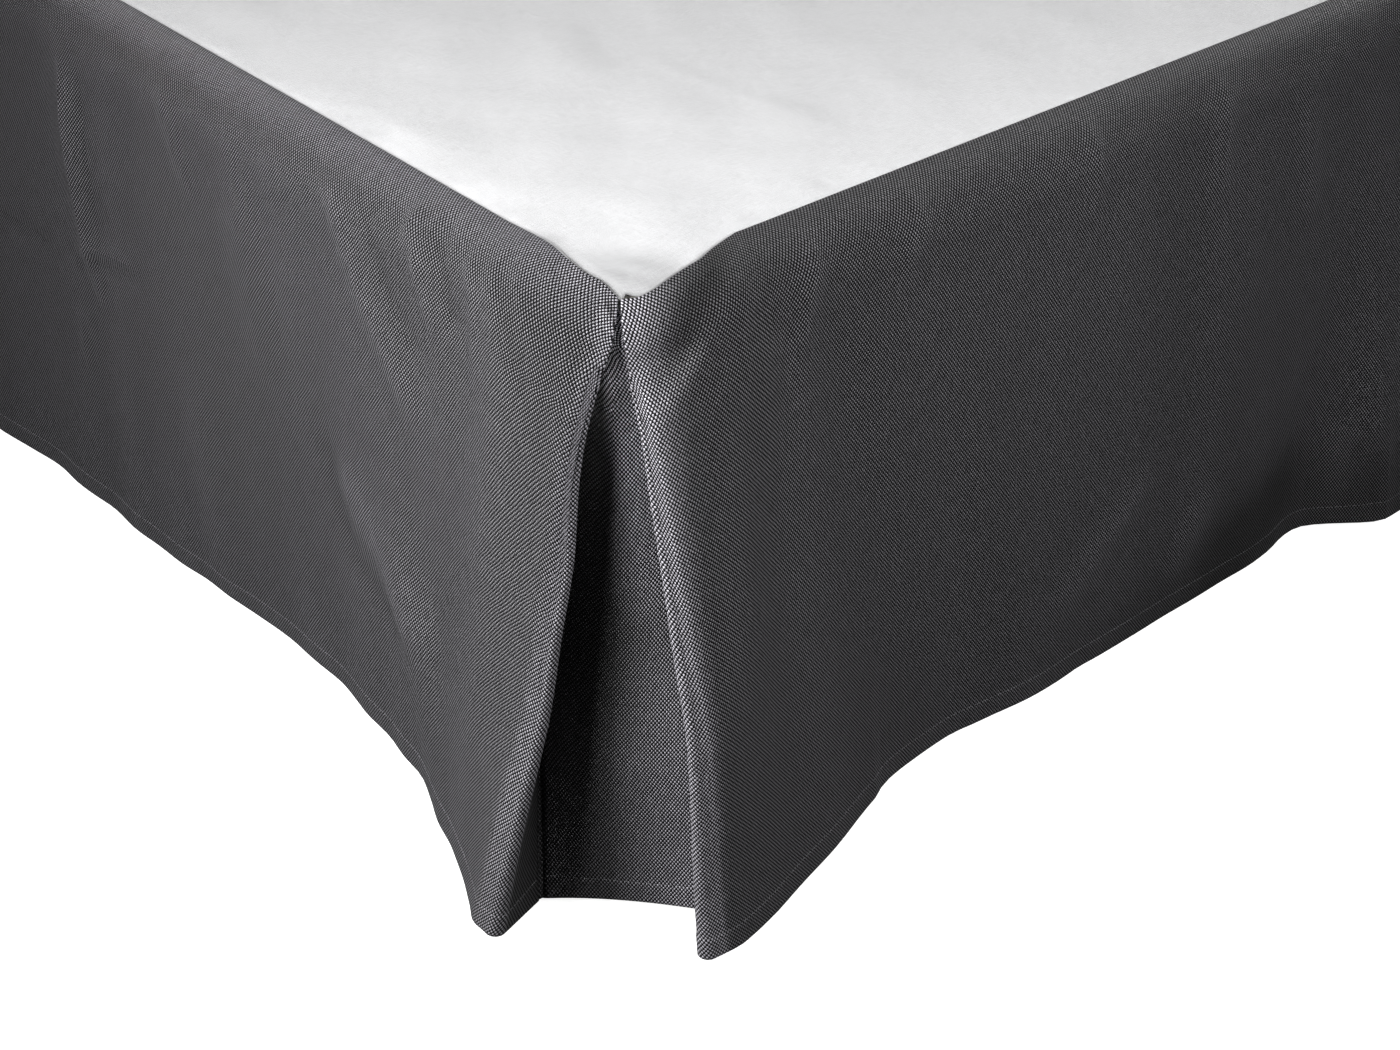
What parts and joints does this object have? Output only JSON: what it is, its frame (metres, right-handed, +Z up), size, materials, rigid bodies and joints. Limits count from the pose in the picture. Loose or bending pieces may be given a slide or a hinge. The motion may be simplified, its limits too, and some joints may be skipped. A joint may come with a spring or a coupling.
{
  "type": "bed skirt on a bed base",
  "caption": "Bed skirt with an inverted pleat at each foot corner, hanging from a white deck sheet that lies over a plain bed base on short legs.",
  "frame": {"origin": "on the floor, at the bottom centre of the space that the whole takes up", "axes": "+Z up, +Y from the foot end towards the open head end, +X to the right as seen from the foot end"},
  "size_m": [1.7964, 2.1008, 0.5037],
  "materials": {
    "drop": "matt coarse basket weave, charcoal",
    "deck": "matt plain cotton, white",
    "base": "matt plain cover, pale grey-beige",
    "leg": "satin"
  },
  "bodies": {
    "root": {"side_drop_left": "drop", "side_drop_right": "drop", "foot_drop": "drop", "deck": "deck", "bed_base": "base", "leg_foot_left": "leg", "leg_foot_right": "leg", "leg_middle_left": "leg", "leg_middle_right": "leg", "leg_head_left": "leg", "leg_head_right": "leg"}
  },
  "joints": []
}
